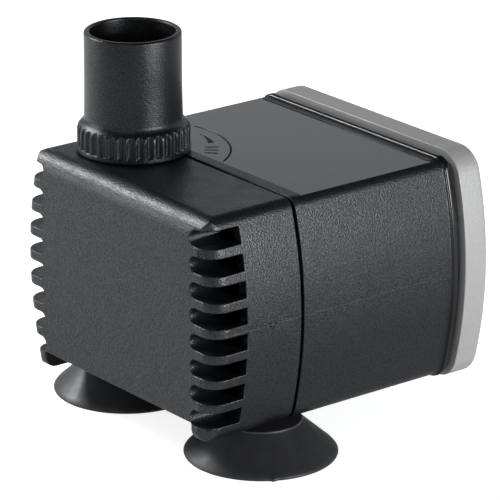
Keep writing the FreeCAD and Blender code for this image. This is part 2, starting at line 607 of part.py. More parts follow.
# ---- outlet nozzle ----------------------------------------------------------------------
def outlet_nozzle():
    """Hose tube with a fluted grip; a web inside it covers the neck's ports when turned."""
    tip = Z_TOP + TUBE_TIP_RISE
    collar_top = Z_COLLAR + COLLAR_HEIGHT
    tube_low = collar_top + SHOULDER_HEIGHT
    web_low = Z_NECK_TOP + VALVE_GAP
    web_top = web_low + VALVE_WEB
    skirt_bore = NECK_RADIUS + NOZZLE_FIT

    def p(r, z):
        return V(r, 0, z)

    grip = COLLAR_RADIUS - COLLAR_RIM_PROUD
    bulge = (grip + TUBE_BASE_RADIUS) / 2 + (grip - TUBE_BASE_RADIUS) / 4
    outline = [
        (skirt_bore, Z_COLLAR), (COLLAR_RADIUS, Z_COLLAR), (COLLAR_RADIUS, Z_COLLAR + COLLAR_RIM),
        (grip, Z_COLLAR + COLLAR_RIM), (grip, collar_top), (TUBE_BASE_RADIUS, tube_low),
        (TUBE_TIP_RADIUS, tip - TUBE_TIP_CHAMFER - TUBE_PARALLEL_LENGTH),
        (TUBE_TIP_RADIUS, tip - TUBE_TIP_CHAMFER), (TUBE_TIP_RADIUS - TUBE_TIP_CHAMFER, tip),
        (TUBE_BORE_RADIUS, tip),
        (TUBE_BORE_RADIUS, web_top + 2 * VALVE_WEB), (VALVE_PORT_RADIUS, web_top),
        (0, web_top), (0, web_low), (skirt_bore, web_low),
    ]
    edges = [Part.makeLine(p(*a), p(*b)) for a, b in zip(outline, outline[1:] + outline[:1])]
    edges[4] = Part.Arc(p(grip, collar_top),
                        p(bulge, (collar_top + tube_low) / 2 + SHOULDER_HEIGHT / 8),
                        p(TUBE_BASE_RADIUS, tube_low)).toShape()
    solid = Part.Face(Part.Wire(edges)).revolve(V(0, 0, 0), Z_DIR, 360)
    solid.translate(V(OUTLET_X, OUTLET_Y, 0))
    flutes = []
    for flute in range(FLUTE_COUNT):
        turn = 2 * math.pi * flute / FLUTE_COUNT
        reach = grip + FLUTE_RADIUS / 4
        flutes.append(rod_z(FLUTE_RADIUS, Z_COLLAR + COLLAR_RIM, tube_low,
                            OUTLET_X + reach * math.cos(turn), OUTLET_Y + reach * math.sin(turn)))
    return solid.cut(flutes + valve_ports(web_low - VALVE_GAP / 2, web_top + VALVE_WEB))


# ---- rotor, shaft and impeller ----------------------------------------------------------
def shaft():
    return rod_y(SHAFT_RADIUS, Y_FRONT_BUSH_END - BUSH_LENGTH, Y_WELL_END)


def shaft_bush(y0):
    return ring_y(BUSH_RADIUS, SHAFT_RADIUS, y0, y0 + BUSH_LENGTH)


def thrust_washer(y0):
    return ring_y(WASHER_RADIUS, SHAFT_BORE_RADIUS, y0, y0 + WASHER_THICKNESS)


def dog(y0, y1, middle):
    """Driving lug: part of a ring centred on the angle middle, from +X towards -Z."""
    base = V(0, y0, Z_AXIS)
    start, end = middle - DOG_ANGLE / 2, middle + DOG_ANGLE / 2
    lug = sector(DOG_OUTER_RADIUS, start, end, y1 - y0, base, False)
    return lug.cut(rod_y(DOG_INNER_RADIUS, y0, y1))


def rotor_carrier():
    hub = rod_y(CARRIER_HUB_RADIUS, Y_CARRIER, Y_CARRIER_END)
    front = rod_y(MAGNET_RADIUS, Y_CARRIER, Y_MAGNET)
    rear = rod_y(MAGNET_RADIUS, Y_MAGNET + MAGNET_LENGTH, Y_CARRIER_END)
    lug = dog(Y_IMPELLER_BACK + DOG_GAP, Y_CARRIER, 90)
    return joined([hub, front, rear, lug]).cut(rod_y(SHAFT_BORE_RADIUS, 0, FAR))


def rotor_magnet():
    return ring_y(MAGNET_RADIUS, CARRIER_HUB_RADIUS, Y_MAGNET, Y_MAGNET + MAGNET_LENGTH)


def impeller():
    parts = [rod_y(IMPELLER_RADIUS, Y_IMPELLER_PLATE, Y_IMPELLER_BACK),
             rod_y(IMPELLER_HUB_RADIUS, Y_IMPELLER, Y_IMPELLER_PLATE),
             dog(Y_IMPELLER_BACK, Y_DOG_END, -90)]
    for blade in range(IMPELLER_BLADES):
        vane = box(0, IMPELLER_RADIUS - BLADE_THICKNESS / 4, Y_IMPELLER, Y_IMPELLER_PLATE,
                   Z_AXIS - BLADE_THICKNESS / 2, Z_AXIS + BLADE_THICKNESS / 2)
        vane.rotate(V(0, 0, Z_AXIS), Y_AXIS, blade * 360 / IMPELLER_BLADES)
        parts.append(vane)
    return joined(parts).cut(rod_y(SHAFT_BORE_RADIUS, 0, FAR))


# ---- stator -----------------------------------------------------------------------------
def stator_core():
    """Laminated frame with two inward poles that embrace the rotor well."""
    y0, y1 = Y_STACK, Y_STACK + STACK_LENGTH
    frame = box(-STACK_HALF_WIDTH, STACK_HALF_WIDTH, y0, y1,
                Z_AXIS - STACK_HALF_HEIGHT, Z_AXIS + STACK_HALF_HEIGHT)
    inner_x, inner_z = STACK_HALF_WIDTH - YOKE, STACK_HALF_HEIGHT - YOKE
    window = box(-inner_x, inner_x, y0, y1, Z_AXIS - inner_z, Z_AXIS + inner_z)
    poles = []
    for side in (-1, 1):
        x0, x1 = sorted((side * WELL_RADIUS, side * (inner_x + YOKE / 2)))
        poles.append(box(x0, x1, y0, y1, Z_AXIS - POLE_LEG_HALF_HEIGHT,
                         Z_AXIS + POLE_LEG_HALF_HEIGHT))
        x0, x1 = sorted((side * WELL_RADIUS / 2, side * POLE_SHOE_X))
        poles.append(box(x0, x1, y0, y1, Z_AXIS - POLE_SHOE_HALF_HEIGHT,
                         Z_AXIS + POLE_SHOE_HALF_HEIGHT))
    bore = rod_y(POLE_BORE_RADIUS, y0, y1)
    return joined([frame.cut(window)] + poles).cut(bore)


def leg_box(side, near_x, far_x, grow):
    """Box round a pole leg, grown by the same amount in height and along the motor."""
    x0, x1 = sorted((side * near_x, side * far_x))
    return box(x0, x1, Y_STACK - grow, Y_STACK + STACK_LENGTH + grow,
               Z_AXIS - POLE_LEG_HALF_HEIGHT - grow, Z_AXIS + POLE_LEG_HALF_HEIGHT + grow)


BOBBIN_NEAR_X = POLE_SHOE_X + BOBBIN_FIT
BOBBIN_FAR_X = STACK_HALF_WIDTH - YOKE - BOBBIN_FIT
COIL_GROWTH = BOBBIN_FIT + BOBBIN_WALL + WINDING_DEPTH


def coil_bobbin(side):
    tube = leg_box(side, BOBBIN_NEAR_X, BOBBIN_FAR_X, BOBBIN_FIT + BOBBIN_WALL)
    grow = COIL_GROWTH + BOBBIN_FLANGE_LIP / 2
    near = leg_box(side, BOBBIN_NEAR_X, BOBBIN_NEAR_X + BOBBIN_WALL, grow)
    far = leg_box(side, BOBBIN_FAR_X - BOBBIN_WALL, BOBBIN_FAR_X, grow)
    return joined([tube, near, far]).cut(leg_box(side, 0, FAR, BOBBIN_FIT))


def coil(side):
    near_x, far_x = BOBBIN_NEAR_X + BOBBIN_WALL, BOBBIN_FAR_X - BOBBIN_WALL
    return leg_box(side, near_x, far_x, COIL_GROWTH).cut(
        leg_box(side, near_x, far_x, BOBBIN_FIT + BOBBIN_WALL))


def potting_resin():
    """Cast resin between the laminations and the housing wall."""
    y0, y1 = Y_CAVITY, Y_CAVITY + RESIN_LENGTH
    outer = shell_prism(WALL + RESIN_CLEARANCE, 0, 0, y0, y1)
    outer = outer.cut(box(-FAR, FAR, 0, FAR, 0, BASE_TOP_Z + RESIN_CLEARANCE))
    wide, high = STACK_HALF_WIDTH + RESIN_CLEARANCE, STACK_HALF_HEIGHT + RESIN_CLEARANCE
    return outer.cut(box(-wide, wide, y0, y1, Z_AXIS - high, Z_AXIS + high))


def thermal_cutout():
    """Small switch that lies against the rear of one winding."""
    middle_x = (BOBBIN_NEAR_X + BOBBIN_FAR_X) / 2
    y0 = Y_STACK + STACK_LENGTH + COIL_GROWTH + BOBBIN_FLANGE_LIP / 2
    return box(middle_x - CUTOUT_WIDTH / 2, middle_x + CUTOUT_WIDTH / 2, y0, y0 + CUTOUT_DEPTH,
               Z_AXIS - CUTOUT_HEIGHT / 2, Z_AXIS + CUTOUT_HEIGHT / 2)


# ---- everything, by node name -----------------------------------------------------------
def nodes():
    return {
        "front_cover": front_cover(),
        "suction_cup_left": suction_cup(-1, False),
        "suction_cup_right": suction_cup(1, True),
        "motor_housing": motor_housing(),
        "rear_cap": rear_cap(),
        "cap_gasket": cap_gasket(),
        "cable_gland": cable_gland(),
        "volute_housing": volute_housing(),
        "volute_seal": volute_seal(),
        "outlet_nozzle": outlet_nozzle(),
        "nozzle_seal": nozzle_seal(),
        "shaft": shaft(),
        "shaft_bush_front": shaft_bush(Y_FRONT_BUSH_END - BUSH_LENGTH),
        "shaft_bush_rear": shaft_bush(Y_REAR_BUSH),
        "thrust_washer_front": thrust_washer(Y_FRONT_BUSH_END + END_FLOAT),
        "thrust_washer_rear": thrust_washer(Y_REAR_BUSH - END_FLOAT - WASHER_THICKNESS),
        "rotor_carrier": rotor_carrier(),
        "rotor_magnet": rotor_magnet(),
        "impeller": impeller(),
        "stator_core": stator_core(),
        "coil_bobbin_left": coil_bobbin(-1),
        "coil_bobbin_right": coil_bobbin(1),
        "coil_left": coil(-1),
        "coil_right": coil(1),
        "potting_resin": potting_resin(),
        "thermal_cutout": thermal_cutout(),
    }


def save(name, shape):
    """Write one node, moved so that the origin is under the middle of the pump."""
    placed = shape.copy()
    placed.translate(V(0, -TOTAL_LENGTH / 2, 0))
    placed.exportStep(os.path.join("parts", name + ".step"))
    size = placed.BoundBox
    print(f"{name:20s} solids {len(placed.Solids)} valid {placed.isValid()} "
          f"volume {placed.Volume:9.1f} y {size.YMin:7.2f} {size.YMax:7.2f} "
          f"z {size.ZMin:6.2f} {size.ZMax:6.2f}")


os.makedirs("parts", exist_ok=True)
for node_name, node_shape in nodes().items():
    save(node_name, node_shape)
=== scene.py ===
import math
from types import SimpleNamespace

import bmesh
import bpy
import numpy as np
from bpy.props import (FloatProperty, FloatVectorProperty, IntProperty, PointerProperty,
                       StringProperty)
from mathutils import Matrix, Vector


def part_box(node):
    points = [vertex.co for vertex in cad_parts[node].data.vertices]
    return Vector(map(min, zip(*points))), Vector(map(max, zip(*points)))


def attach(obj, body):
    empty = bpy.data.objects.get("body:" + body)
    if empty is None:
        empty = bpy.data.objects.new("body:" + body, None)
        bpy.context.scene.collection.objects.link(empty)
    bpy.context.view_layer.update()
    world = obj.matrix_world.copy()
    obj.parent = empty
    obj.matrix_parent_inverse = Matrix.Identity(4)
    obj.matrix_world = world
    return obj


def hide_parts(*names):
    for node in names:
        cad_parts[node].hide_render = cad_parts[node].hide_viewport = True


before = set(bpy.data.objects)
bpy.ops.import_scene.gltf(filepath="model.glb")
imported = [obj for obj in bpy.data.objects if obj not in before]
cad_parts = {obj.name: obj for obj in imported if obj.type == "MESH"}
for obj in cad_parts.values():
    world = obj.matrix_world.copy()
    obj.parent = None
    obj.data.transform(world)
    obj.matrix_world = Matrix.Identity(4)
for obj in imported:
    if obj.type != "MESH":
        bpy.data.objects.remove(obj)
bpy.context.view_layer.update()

bl_info = {
    "name": "Submersible pump finish",
    "version": (1, 0, 0),
    "blender": (4, 5, 0),
    "location": "View3D > Sidebar > Pump",
    "description": "Finished surfaces, materials and studio for a small submersible water pump",
    "category": "Object",
}

MM = 0.001


# ---- measures, in millimetres ------------------------------------------------------------
def corners_mm(node):
    """Lowest and highest corner of a CAD node, in millimetres, as arrays."""
    low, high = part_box(node)
    return np.array(low) / MM, np.array(high) / MM


COVER_LOW, COVER_HIGH = corners_mm("front_cover")
HOUSING_LOW, HOUSING_HIGH = corners_mm("motor_housing")
NOZZLE_LOW, NOZZLE_HIGH = corners_mm("outlet_nozzle")
TOP_Z = COVER_HIGH[2]
AXIS_Z = (COVER_LOW[2] + COVER_HIGH[2]) / 2

SIDE_ARC = 65.0             # radius of the bowed sides
COVER_ROUND = 3.4           # rounding between the cover's face and its sides
FINS_X = 20.0               # the fins lie further out than this
FINS_DEPTH = 7.8            # and end this far behind the face
SLOTS_MARGIN = 4.0          # height without slots at the cover's top and bottom
SKIN = 0.15                 # an edge this deep still counts as on the outside
GATE_DEPTH = 12.4           # the gate mark's place behind the face, on the right side
GATE_X = 26.0               # the mark lies further out than this
COVER_CUTS = (-20.2, -12, 0, 12, 20.2)      # X places between and inside the slots' ends
PLAIN_EDGE = 0.22           # rounding of the cover's other edges
LIP = 2.1                   # length of the housing's lip under the cover
FLANGE = 1.35               # length at the housing's rear that holds its flange
PANEL_REAR = 3.3            # from the housing's rear to just before the panel's edge
PANEL_EDGE = 0.13           # rounding of the panel's rear edge
MARK_DEPTHS = (0.1, 0.2, 0.35)      # the panel's floor lies between the first two, marks below

NECK_FIT = 6.7              # inner radius of the outlet's foot
WEB_GAP = 0.3               # between the chamber's neck and the web above it
WEB_THICKNESS = 1.0
WEB_TOP = corners_mm("volute_housing")[1][2] + WEB_GAP + WEB_THICKNESS


# ---- settings ---------------------------------------------------------------------------
class NozzleSettings(bpy.types.PropertyGroup):
    """Sizes of the outlet."""
    flutes: IntProperty(name="Flutes", description="Grooves round the grip", default=36, min=8)
    flute_radius: FloatProperty(name="Flute radius", description="Radius of one groove",
                                default=0.62 * MM, min=0.1 * MM, unit="LENGTH")
    rim_height: FloatProperty(name="Rim", description="Plain rim under the grooves",
                              default=0.7 * MM, min=0.1 * MM, unit="LENGTH")
    rim_proud: FloatProperty(name="Rim ledge", description="Reach of the rim beyond the grip",
                             default=0.15 * MM, min=0.0, unit="LENGTH")
    collar_height: FloatProperty(name="Collar", description="Straight part of the grip",
                                 default=4.2 * MM, min=1.0 * MM, unit="LENGTH")
    shoulder_height: FloatProperty(name="Shoulder", description="Rise from the grip to the tube",
                                   default=1.3 * MM, min=0.5 * MM, unit="LENGTH")
    base_radius: FloatProperty(name="Tube foot", description="Radius of the tube at its foot",
                               default=8.5 * MM, min=2.0 * MM, unit="LENGTH")
    tip_radius: FloatProperty(name="Tube tip", description="Radius of the parallel end",
                              default=8.38 * MM, min=2.0 * MM, unit="LENGTH")
    parallel: FloatProperty(name="Parallel end", description="Length that takes the hose",
                            default=7.5 * MM, min=1.0 * MM, unit="LENGTH")
    bore_radius: FloatProperty(name="Bore", description="Radius of the bore",
                               default=7.35 * MM, min=1.0 * MM, unit="LENGTH")
    port_radius: FloatProperty(name="Ports", description="Outer radius of the web's ports",
                               default=4.3 * MM, min=1.0 * MM, unit="LENGTH")
    hub_radius: FloatProperty(name="Hub", description="Radius of the web's middle",
                              default=1.2 * MM, min=0.2 * MM, unit="LENGTH")


class CupSettings(bpy.types.PropertyGroup):
    """Sizes of a suction cup."""
    disc_radius: FloatProperty(name="Disc", description="Radius of the disc on top of the cup",
                               default=7.0 * MM, min=3.0 * MM, unit="LENGTH")
    stem_radius: FloatProperty(name="Stem", description="Radius of the stem through the cover",
                               default=2.3 * MM, min=0.5 * MM, unit="LENGTH")
    head_radius: FloatProperty(name="Head", description="Radius of the button above the stem",
                               default=3.4 * MM, min=1.0 * MM, unit="LENGTH")
    hollow: FloatProperty(name="Hollow", description="Depth of the hollow under the cup",
                          default=3.7 * MM, min=1.0 * MM, unit="LENGTH")
    lip: FloatProperty(name="Lip", description="Thickness of the cup's rim",
                       default=0.6 * MM, min=0.3 * MM, unit="LENGTH")
    nib: FloatProperty(name="Nib", description="Reach of the gate nib on the right cup's rim",
                       default=0.42 * MM, min=0.05 * MM, unit="LENGTH")


class ShellSettings(bpy.types.PropertyGroup):
    """Edge rounding of the moulded shells."""
    fin: FloatProperty(name="Fins", description="Rounding of the fins",
                       default=0.2 * MM, min=0.0, unit="LENGTH")
    bead: FloatProperty(name="Flange bead", description="Rounding of the housing's flange",
                        default=0.38 * MM, min=0.0, unit="LENGTH")
    seam: FloatProperty(name="Seams", description="Rounding along the seam",
                        default=0.2 * MM, min=0.0, unit="LENGTH")
    mark: FloatProperty(name="Marks", description="Rounding of the shallow marks",
                        default=0.04 * MM, min=0.0, unit="LENGTH")
    cap: FloatProperty(name="Cap", description="Rounding of the rear cap's edges",
                       default=0.16 * MM, min=0.0, unit="LENGTH")


class FinishSettings(bpy.types.PropertyGroup):
    """Colours as sRGB hex, the grain and the roughness of each finish."""
    black: StringProperty(name="Black ABS", description="Colour of the shells",
                          default="#101216")
    plain_black: StringProperty(name="Plain ABS", description="Colour of outlet and chamber",
                                default="#0A0B0D")
    silver: StringProperty(name="Silver ABS", description="Colour of the rear cap",
                           default="#A4A2A0")
    rubber: StringProperty(name="Rubber", description="Colour of the cups and the gasket",
                           default="#2A2A2C")
    grain: FloatProperty(name="Grain", description="Pitch of the spark-eroded grain",
                         default=0.27 * MM, min=0.05 * MM, unit="LENGTH")
    relief: FloatProperty(name="Relief", description="Depth of the grain, as a factor",
                          default=2.3, min=0.0)
    black_gloss: FloatProperty(name="Shell roughness", description="Roughness of the shells",
                               default=0.36, min=0.0, max=1.0, subtype="FACTOR")
    panel_gloss: FloatProperty(name="Panel roughness", description="Roughness of the top panel",
                               default=0.2, min=0.0, max=1.0, subtype="FACTOR")
    nozzle_gloss: FloatProperty(name="Outlet roughness", description="Roughness of the outlet",
                                default=0.3, min=0.0, max=1.0, subtype="FACTOR")
    rubber_gloss: FloatProperty(name="Rubber roughness", description="Roughness of the cups",
                                default=0.45, min=0.0, max=1.0, subtype="FACTOR")


class StudioSettings(bpy.types.PropertyGroup):
    """Camera and light."""
    azimuth: FloatProperty(name="Azimuth", description="Camera's bearing from the front",
                           default=math.radians(51.83), subtype="ANGLE")
    elevation: FloatProperty(name="Elevation", description="Camera's angle above the floor",
                             default=math.radians(19.66), subtype="ANGLE")
    distance: FloatProperty(name="Distance", description="From the camera to its target",
                            default=620.8 * MM, min=100.0 * MM, unit="LENGTH")
    target: FloatVectorProperty(name="Target", description="Point in the middle of the view",
                                default=(28.27 * MM, -24.96 * MM, 41.14 * MM),
                                subtype="TRANSLATION")
    lens: FloatProperty(name="Lens", description="Focal length", default=273.75, min=10.0,
                        unit="CAMERA")
    floor_light: FloatProperty(name="Floor glow", description="Light that the floor gives",
                               default=0.15, min=0.0)
    ring_light: FloatProperty(name="Ring glow", description="Light from just above the horizon",
                              default=0.9, min=0.0)


def in_mm(settings):
    """The lengths in a group of settings, in millimetres, under their own names."""
    return SimpleNamespace(**{key: getattr(settings, key) / MM
                              for key, value in settings.bl_rna.properties.items()
                              if getattr(value, "unit", "NONE") == "LENGTH"})


# ---- meshes -----------------------------------------------------------------------------
def new_object(name, vertices_mm, faces, smooth=True):
    """A mesh object at the origin from points in millimetres and a list or array of faces."""
    mesh = bpy.data.meshes.new(name)
    mesh.from_pydata((np.asarray(vertices_mm) * MM).tolist(), [], [list(f) for f in faces])
    mesh.validate()
    mesh.polygons.foreach_set("use_smooth", np.full(len(mesh.polygons), smooth))
    obj = bpy.data.objects.new(name, mesh)
    bpy.context.scene.collection.objects.link(obj)
    return obj


def grid_faces(rows, columns, close_rows=False):
    """Quads of a grid closed across, whose vertex (i, j) has the number i * columns + j."""
    i, j = np.meshgrid(np.arange(rows if close_rows else rows - 1), np.arange(columns),
                       indexing="ij")
    i2, j2 = (i + 1) % rows, (j + 1) % columns
    quads = np.stack([i * columns + j, i * columns + j2, i2 * columns + j2, i2 * columns + j], -1)
    return quads.reshape(-1, 4).tolist()


def turned(profile, centre, segments, shape=None):
    """Closed surface of revolution about an upright axis: (r, z) of each profile point goes to
    centre + (r cos t, r sin t, z), for t round the full circle. Ends that lie on the axis become
    one vertex. shape(r, z, t) may change the radii."""
    poles = profile[0, 0] == 0, profile[-1, 0] == 0
    rings = profile[int(poles[0]):len(profile) - int(poles[1])]
    t = np.arange(segments) * 2 * math.pi / segments
    r, z = np.repeat(rings[:, :1], segments, 1), np.repeat(rings[:, 1:], segments, 1)
    if shape is not None:
        r = shape(r, z, t[None, :])
    points = np.stack([r * np.cos(t), r * np.sin(t), z], -1).reshape(-1, 3)
    faces = grid_faces(len(rings), segments, close_rows=not any(poles))
    step = np.arange(segments)
    after = (step + 1) % segments
    for pole, end, ring in ((poles[0], 0, 0), (poles[1], -1, len(rings) - 1)):
        if pole:
            fan = np.stack([step + ring * segments, after + ring * segments,
                            np.full(segments, len(points))], -1)
            points = np.vstack([points, [(0, 0, profile[end, 1])]])
            faces += (fan if end else fan[:, ::-1]).tolist()
    return points + np.asarray(centre, float), faces


def rounded(corners, steps=5):
    """Profile through corners (r, z, rounding): a corner with a rounding becomes the quadratic
    Bezier curve between the points that far before and after it, which is close to an arc."""
    corners = np.asarray(corners, float)
    points, out = corners[:, :2], []
    for k, (p, rounding) in enumerate(zip(points, corners[:, 2])):
        if rounding <= 0:
            out.append(p[None])
            continue
        before, after = points[k - 1] - p, points[(k + 1) % len(points)] - p
        lengths = np.linalg.norm(before), np.linalg.norm(after)
        cut = min(rounding, 0.45 * lengths[0], 0.45 * lengths[1])
        a, b = p + before / lengths[0] * cut, p + after / lengths[1] * cut
        s = np.linspace(0, 1, steps)[:, None]
        out.append((1 - s) ** 2 * a + 2 * s * (1 - s) * p + s ** 2 * b)
    return np.vstack(out)


def subdivided(profile, longest):
    """The profile with each segment cut into equal pieces, none longer than the length given:
    one length for all, or one for each segment."""
    run = np.diff(profile, axis=0)
    counts = np.maximum(1, np.ceil(np.linalg.norm(run, axis=1) / longest)).astype(int)
    share = np.concatenate([np.arange(1, n + 1) / n for n in counts])[:, None]
    cut = np.repeat(profile[:-1], counts, axis=0) + np.repeat(run, counts, axis=0) * share
    return np.vstack([profile[:1], cut])


def outward(obj):
    """Recalculates the normals of closed shells so that they point outwards."""
    work = bmesh.new()
    work.from_mesh(obj.data)
    bmesh.ops.recalc_face_normals(work, faces=work.faces)
    work.to_mesh(obj.data)
    work.free()


def moulded_copy(node, name, widest_mm, width_at, merge_mm=0.002, cuts=()):
    """A copy of a CAD node's surface with doubles merged, flat faces joined and the sharp edges
    rounded. width_at gives the rounding in mm from the middles of the edges, one per row. Long
    strips are cut across at the X places in cuts, so that they shade as the surface they're on."""
    sharp_angle, flat_angle = math.radians(28.0), math.radians(0.4)
    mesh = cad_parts[node].data.copy()
    mesh.name = name
    mesh.materials.clear()
    obj = bpy.data.objects.new(name, mesh)
    bpy.context.scene.collection.objects.link(obj)
    work = bmesh.new()
    work.from_mesh(mesh)
    weight = work.edges.layers.float.new("bevel_weight_edge")
    bmesh.ops.remove_doubles(work, verts=work.verts, dist=merge_mm * MM)
    bmesh.ops.dissolve_limit(work, angle_limit=flat_angle, verts=work.verts, edges=work.edges)
    for x in cuts:
        bmesh.ops.bisect_plane(work, geom=[*work.verts, *work.edges, *work.faces],
                               plane_co=(x * MM, 0, 0), plane_no=(1, 0, 0))
    sharp = [e for e in work.edges if e.calc_face_angle(0.0) > sharp_angle]
    middles = np.array([(e.verts[0].co + e.verts[1].co) / 2 for e in sharp]) / MM
    for edge, width in zip(sharp, width_at(middles) / widest_mm):
        edge[weight] = width
    work.to_mesh(mesh)
    work.free()
    mesh.polygons.foreach_set("use_smooth", np.ones(len(mesh.polygons), bool))
    bevel = obj.modifiers.new("rounded edges", "BEVEL")
    bevel.width = widest_mm * MM
    bevel.segments = 3
    bevel.limit_method = "WEIGHT"
    bevel.use_clamp_overlap = False
    bevel.miter_outer = "MITER_ARC"
    weighted = obj.modifiers.new("flat faces stay flat", "WEIGHTED_NORMAL")
    weighted.mode = "FACE_AREA"
    weighted.weight = 100
    weighted.keep_sharp = True
    return obj


def finish_piece(obj, material, body, replaced):
    """Gives a piece its material and ties it to the frame."""
    obj.data.materials.clear()
    obj.data.materials.append(material)
    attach(obj, body)
    if replaced:
        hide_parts(*replaced)


# ---- materials --------------------------------------------------------------------------
def linear(code, brightness=1.0):
    """sRGB hex to linear RGBA, made brighter or darker by a factor."""
    values = [int(code[k:k + 2], 16) / 255 for k in (1, 3, 5)]
    return [brightness * (v / 12.92 if v <= 0.04045 else ((v + 0.055) / 1.055) ** 2.4)
            for v in values] + [1.0]


def feed(tree, node, links):
    """Links each socket to the node's input of that name or number."""
    for key, source in links.items():
        tree.links.new(source, node.inputs[key])


def add(tree, kind, settings=None, links=None):
    """Adds a node. Settings set its inputs, by name or number, or its attributes; links feed
    its inputs. On a Mix node of colours the inputs are 0, the factor, 6 and 7, and output 2."""
    node = tree.nodes.new(kind)
    for key, value in (settings or {}).items():
        if isinstance(key, int) or key in node.inputs:
            node.inputs[key].default_value = value
        else:
            setattr(node, key, value)
    feed(tree, node, links or {})
    return node


def new_material(name, **surface):
    """A material, its tree, its Principled shader with the values given, and the object
    coordinates' socket."""
    material = bpy.data.materials.new(name)
    material.use_nodes = True
    tree = material.node_tree
    shader = tree.nodes["Principled BSDF"]
    for key, value in surface.items():
        shader.inputs[key.replace("_", " ")].default_value = value
    return material, tree, shader, add(tree, "ShaderNodeTexCoord").outputs["Object"]


def grained_abs(name, colour, grain_mm, roughness, relief=1.0, parting_z=None, **surface):
    """Injection-moulded ABS from a spark-eroded tool: a fine pebble that breaks highlights into
    speckle, drawn a little coarser than the real 0.2 mm so that it shows, with a slightly uneven
    gloss. Where the tool's halves met, a faint raised line runs round at the height parting_z,
    tinted lighter grey as a painted highlight."""
    material, tree, shader, place = new_material(name, **{"IOR": 1.53, **surface})
    pebble = add(tree, "ShaderNodeTexNoise", {"Scale": 1 / (grain_mm * MM), "Detail": 1.0,
                                              "Roughness": 0.5}, {"Vector": place})
    glint = add(tree, "ShaderNodeTexNoise", {"Scale": 1.4 / (grain_mm * MM), "Detail": 0.0},
                {"Vector": place})
    shine = add(tree, "ShaderNodeMapRange", {"From Min": 0.32, "From Max": 0.68,
                                             "To Min": 0.3, "To Max": 0.7},
                {"Value": glint.outputs["Fac"]})
    cloud = add(tree, "ShaderNodeTexNoise", {"Scale": 1 / (3.5 * MM), "Detail": 4.0},
                {"Vector": place})
    gloss = add(tree, "ShaderNodeMapRange", {"From Min": 0.3, "From Max": 0.7,
                                             "To Min": roughness * 0.88,
                                             "To Max": roughness * 1.12},
                {"Value": cloud.outputs["Fac"]})
    tint = add(tree, "ShaderNodeMix", {"data_type": "RGBA", 6: linear(colour),
                                       7: linear(colour, 1.3)}, {0: pebble.outputs["Fac"]})
    bump = add(tree, "ShaderNodeBump", {"Strength": 1.0, "Distance": 0.12 * relief * grain_mm * MM},
               {"Height": pebble.outputs["Fac"]})
    if parting_z is not None:
        half_width, sides_from, sides_full = 0.09 * MM, 23 * MM, 26 * MM
        axes = add(tree, "ShaderNodeSeparateXYZ", links={"Vector": place})
        off = add(tree, "ShaderNodeMath", {"operation": "SUBTRACT", 1: parting_z * MM},
                  {0: axes.outputs["Z"]})
        away = add(tree, "ShaderNodeMath", {"operation": "ABSOLUTE"}, {0: off.outputs["Value"]})
        side = add(tree, "ShaderNodeMath", {"operation": "ABSOLUTE"}, {0: axes.outputs["X"]})
        outer = add(tree, "ShaderNodeMapRange", {"From Min": sides_from, "From Max": sides_full},
                    {"Value": side.outputs["Value"]})
        ridge = add(tree, "ShaderNodeMapRange", {"From Min": 0.0, "From Max": half_width,
                                                 "To Max": 0.0},
                    {"Value": away.outputs["Value"], "To Min": outer.outputs["Result"]})
        bump = add(tree, "ShaderNodeBump", {"Strength": 0.6, "Distance": 0.025 * MM},
                   {"Height": ridge.outputs["Result"], "Normal": bump.outputs["Normal"]})
        # The parting ridge is tinted a lighter grey: a painted highlight where the raised line
        # catches the light.
        tint = add(tree, "ShaderNodeMix", {"data_type": "RGBA", 7: linear("#303235")},
                   {0: ridge.outputs["Result"], 6: tint.outputs[2]})
    feed(tree, shader, {"Base Color": tint.outputs[2], "Roughness": gloss.outputs["Result"],
                        "Specular IOR Level": shine.outputs["Result"],
                        "Normal": bump.outputs["Normal"]})
    return material


def plain_plastic(name, colour, roughness, ripple_mm=0.004, uneven=0.18, **surface):
    """Smooth moulded plastic, rubber or ceramic: faint flow clouds in the gloss and colour and
    a very low ripple, so that reflections aren't perfectly straight."""
    material, tree, shader, place = new_material(name, **{"IOR": 1.53, **surface})
    cloud = add(tree, "ShaderNodeTexNoise", {"Scale": 1 / (2.2 * MM), "Detail": 5.0},
                {"Vector": place})
    fine = add(tree, "ShaderNodeTexNoise", {"Scale": 1 / (0.35 * MM), "Detail": 3.0},
               {"Vector": place})
    gloss = add(tree, "ShaderNodeMapRange", {"From Min": 0.3, "From Max": 0.7,
                                             "To Min": roughness * (1 - uneven),
                                             "To Max": roughness * (1 + uneven)},
                {"Value": cloud.outputs["Fac"]})
    tint = add(tree, "ShaderNodeMix", {"data_type": "RGBA", 6: linear(colour),
                                       7: linear(colour, 0.8)}, {0: cloud.outputs["Fac"]})
    bump = add(tree, "ShaderNodeBump", {"Strength": 1.0, "Distance": ripple_mm * MM},
               {"Height": fine.outputs["Fac"]})
    feed(tree, shader, {"Base Color": tint.outputs[2], "Roughness": gloss.outputs["Result"],
                        "Normal": bump.outputs["Normal"]})
    return material


